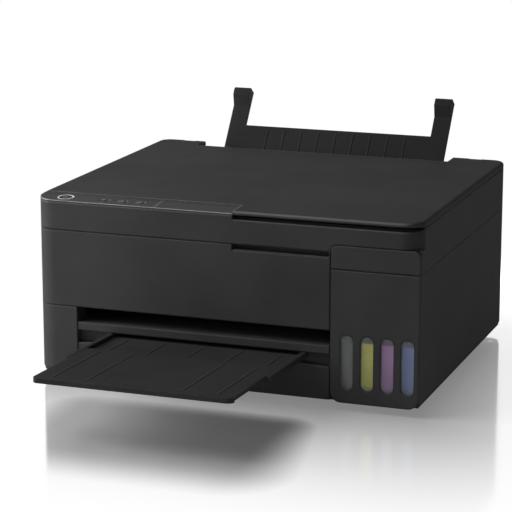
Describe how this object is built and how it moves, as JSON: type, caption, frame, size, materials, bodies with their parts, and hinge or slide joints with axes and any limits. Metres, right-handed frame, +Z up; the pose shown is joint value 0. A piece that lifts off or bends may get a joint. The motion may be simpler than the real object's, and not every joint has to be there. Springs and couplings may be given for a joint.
{
  "type": "inkjet printer",
  "caption": "All-in-one inkjet printer with flatbed scanner lid, rear sheet support, pull-out front tray and refillable ink tanks behind windows at the front right.",
  "frame": {"origin": "floor level under the middle of the whole printer's box, with the tray out and the support raised", "axes": "+X to the right as seen from the front, +Y towards the rear, +Z up"},
  "size_m": [0.375, 0.557, 0.2298],
  "materials": {
    "case_black": "fine matte texture, charcoal black",
    "lid_black": "fine matte texture, slightly lighter charcoal",
    "inner_black": "plain moulded black",
    "rubber_dark": "soft black rubber",
    "steel_bare": "plated steel",
    "button_black": "satin black",
    "tank_clear": "smoky translucent",
    "ink_liquid": "ink, one colour to each tank",
    "glass_clear": "clear plate glass",
    "foam_pale": "white foam sheet",
    "nylon_pale": "natural nylon",
    "station_grey": "moulded grey",
    "felt_pale": "felt",
    "board_green": "solder resist",
    "cap_black": "moulded black",
    "cap_yellow": "moulded yellow",
    "cap_magenta": "moulded magenta",
    "cap_cyan": "moulded cyan"
  },
  "bodies": {
    "chassis": {"base_pan": "inner_black", "rubber_feet": "rubber_dark", "case_screws": "steel_bare", "main_case": "case_black", "front_panel": "case_black", "lower_front": "case_black", "rear_feed_housing": "case_black", "tank_bezel": "case_black", "ink_tanks": "tank_clear", "ink_fill": "ink_liquid", "feeder_back_plate": "inner_black", "side_frames": "steel_bare", "carriage_rail": "steel_bare", "carriage_belt": "rubber_dark", "carriage_motor": "steel_bare", "feed_motor": "steel_bare", "platen": "inner_black", "capping_station": "station_grey", "waste_ink_pad": "felt_pale", "main_board": "board_green", "power_supply": "inner_black", "power_inlet": "inner_black", "usb_port": "steel_bare", "scanner_hinges": "inner_black"},
    "scanner_unit": {"scanner_tub": "case_black", "scanner_top_frame": "inner_black", "scanner_glass": "glass_clear", "scan_rod": "steel_bare", "control_panel": "lid_black", "lid_hinges": "inner_black"},
    "document_lid": {"document_lid": "lid_black", "document_mat": "foam_pale"},
    "scan_bar": {"scan_bar": "inner_black"},
    "power_button": {"power_button": "button_black"},
    "network_button": {"network_button": "button_black"},
    "copy_button": {"copy_button": "button_black"},
    "stop_button": {"stop_button": "button_black"},
    "paper_support": {"paper_support": "inner_black"},
    "edge_guide_left": {"edge_guide_left": "inner_black"},
    "edge_guide_right": {"edge_guide_right": "inner_black"},
    "feeder_guard": {"feeder_guard": "inner_black"},
    "output_tray": {"output_tray": "inner_black"},
    "tray_extension": {"tray_extension": "inner_black"},
    "paper_stopper": {"paper_stopper": "inner_black"},
    "tank_cover": {"tank_cover": "case_black"},
    "print_carriage": {"print_carriage": "inner_black", "print_head": "steel_bare"},
    "drive_pulley": {"drive_pulley": "nylon_pale"},
    "idler_pulley": {"idler_pulley": "nylon_pale"},
    "feed_roller": {"feed_roller": "steel_bare", "feed_gear": "nylon_pale"},
    "idler_gear": {"idler_gear": "nylon_pale"},
    "exit_roller": {"exit_roller": "steel_bare", "exit_gear": "nylon_pale"},
    "motor_pinion": {"motor_pinion": "steel_bare"},
    "pick_roller": {"pick_roller": "rubber_dark"},
    "tank_cap_black": {"tank_cap_black": "cap_black"},
    "tank_cap_yellow": {"tank_cap_yellow": "cap_yellow"},
    "tank_cap_magenta": {"tank_cap_magenta": "cap_magenta"},
    "tank_cap_cyan": {"tank_cap_cyan": "cap_cyan"}
  },
  "joints": [
    {"name": "scanner_hinge", "type": "hinge", "parent": "chassis", "child": "scanner_unit", "pos_m": [0, 0.21406, 0.152], "axis": [-1, 0, 0], "range_deg": [0, 20]},
    {"name": "lid_hinge", "type": "hinge", "parent": "scanner_unit", "child": "document_lid", "pos_m": [0, 0.21756, 0.1755], "axis": [-1, 0, 0], "range_deg": [0, 75]},
    {"name": "scan_bar_slide", "type": "slide", "parent": "scanner_unit", "child": "scan_bar", "axis": [1, 0, 0], "range_m": [0, 0.31]},
    {"name": "power_button_press", "type": "slide", "parent": "scanner_unit", "child": "power_button", "axis": [0, 0, 1], "range_m": [-0.0008, 0], "stiffness_N_per_m": 600},
    {"name": "network_button_press", "type": "slide", "parent": "scanner_unit", "child": "network_button", "axis": [0, 0, 1], "range_m": [-0.0008, 0], "stiffness_N_per_m": 600},
    {"name": "copy_button_press", "type": "slide", "parent": "scanner_unit", "child": "copy_button", "axis": [0, 0, 1], "range_m": [-0.0008, 0], "stiffness_N_per_m": 600},
    {"name": "stop_button_press", "type": "slide", "parent": "scanner_unit", "child": "stop_button", "axis": [0, 0, 1], "range_m": [-0.0008, 0], "stiffness_N_per_m": 600},
    {"name": "paper_support_slide", "type": "slide", "parent": "chassis", "child": "paper_support", "axis": [0, 0.5878, 0.809], "range_m": [-0.055, 0]},
    {"name": "edge_guide_left_slide", "type": "slide", "parent": "chassis", "child": "edge_guide_left", "axis": [1, 0, 0], "range_m": [0, 0.06]},
    {"name": "edge_guide_right_slide", "type": "slide", "parent": "chassis", "child": "edge_guide_right", "axis": [1, 0, 0], "range_m": [-0.06, 0]},
    {"name": "feeder_guard_hinge", "type": "hinge", "parent": "chassis", "child": "feeder_guard", "pos_m": [-0.003, 0.20406, 0.157], "axis": [1, 0, 0], "range_deg": [0, 45]},
    {"name": "output_tray_slide", "type": "slide", "parent": "chassis", "child": "output_tray", "axis": [0, -0.9991, 0.0419], "range_m": [-0.095, 0]},
    {"name": "tray_extension_slide", "type": "slide", "parent": "output_tray", "child": "tray_extension", "axis": [0, -0.9991, 0.0419], "range_m": [-0.076, 0]},
    {"name": "paper_stopper_hinge", "type": "hinge", "parent": "tray_extension", "child": "paper_stopper", "pos_m": [-0.016, -0.27153, 0.05797], "axis": [1, 0, 0], "range_deg": [0, 80]},
    {"name": "tank_cover_hinge", "type": "hinge", "parent": "chassis", "child": "tank_cover", "pos_m": [0.14575, -0.09894, 0.1332], "axis": [1, 0, 0], "range_deg": [0, 90]},
    {"name": "tank_cap_black_hinge", "type": "hinge", "parent": "chassis", "child": "tank_cap_black", "pos_m": [0.1199, -0.05154, 0.1195], "axis": [-1, 0, 0], "range_deg": [0, 95]},
    {"name": "tank_cap_yellow_hinge", "type": "hinge", "parent": "chassis", "child": "tank_cap_yellow", "pos_m": [0.1389, -0.05154, 0.1195], "axis": [-1, 0, 0], "range_deg": [0, 95]},
    {"name": "tank_cap_magenta_hinge", "type": "hinge", "parent": "chassis", "child": "tank_cap_magenta", "pos_m": [0.1579, -0.05154, 0.1195], "axis": [-1, 0, 0], "range_deg": [0, 95]},
    {"name": "tank_cap_cyan_hinge", "type": "hinge", "parent": "chassis", "child": "tank_cap_cyan", "pos_m": [0.1769, -0.05154, 0.1195], "axis": [-1, 0, 0], "range_deg": [0, 95]},
    {"name": "carriage_slide", "type": "slide", "parent": "chassis", "child": "print_carriage", "axis": [1, 0, 0], "range_m": [-0.266, 0]},
    {"name": "drive_pulley_spin", "type": "hinge", "parent": "chassis", "child": "drive_pulley", "pos_m": [0.153, 0.10506, 0.104], "axis": [0, 1, 0], "range_deg": [-1787, 0]},
    {"name": "idler_pulley_spin", "type": "hinge", "parent": "chassis", "child": "idler_pulley", "pos_m": [-0.153, 0.10506, 0.104], "axis": [0, 1, 0], "range_deg": [-1787, 0]},
    {"name": "feed_roller_spin", "type": "hinge", "parent": "chassis", "child": "feed_roller", "pos_m": [0, 0.08956, 0.058], "axis": [1, 0, 0], "continuous": true},
    {"name": "idler_gear_spin", "type": "hinge", "parent": "chassis", "child": "idler_gear", "pos_m": [-0.17, 0.04856, 0.05853], "axis": [1, 0, 0], "continuous": true},
    {"name": "exit_roller_spin", "type": "hinge", "parent": "chassis", "child": "exit_roller", "pos_m": [0, 0.01157, 0.059], "axis": [1, 0, 0], "continuous": true},
    {"name": "motor_pinion_spin", "type": "hinge", "parent": "chassis", "child": "motor_pinion", "pos_m": [-0.17, 0.11456, 0.058], "axis": [1, 0, 0], "continuous": true},
    {"name": "pick_roller_spin", "type": "hinge", "parent": "chassis", "child": "pick_roller", "pos_m": [0, 0.16827, 0.10691], "axis": [1, 0, 0], "continuous": true}
  ],
  "couplings": [
    {"joint": "edge_guide_right_slide", "follows": "edge_guide_left_slide", "ratio": -1},
    {"joint": "drive_pulley_spin", "follows": "carriage_slide", "rad_per_m": 114.94},
    {"joint": "idler_pulley_spin", "follows": "carriage_slide", "rad_per_m": 114.94},
    {"joint": "idler_gear_spin", "follows": "feed_roller_spin", "ratio": -0.95238},
    {"joint": "exit_roller_spin", "follows": "feed_roller_spin", "ratio": 1.25},
    {"joint": "motor_pinion_spin", "follows": "feed_roller_spin", "ratio": -4}
  ]
}
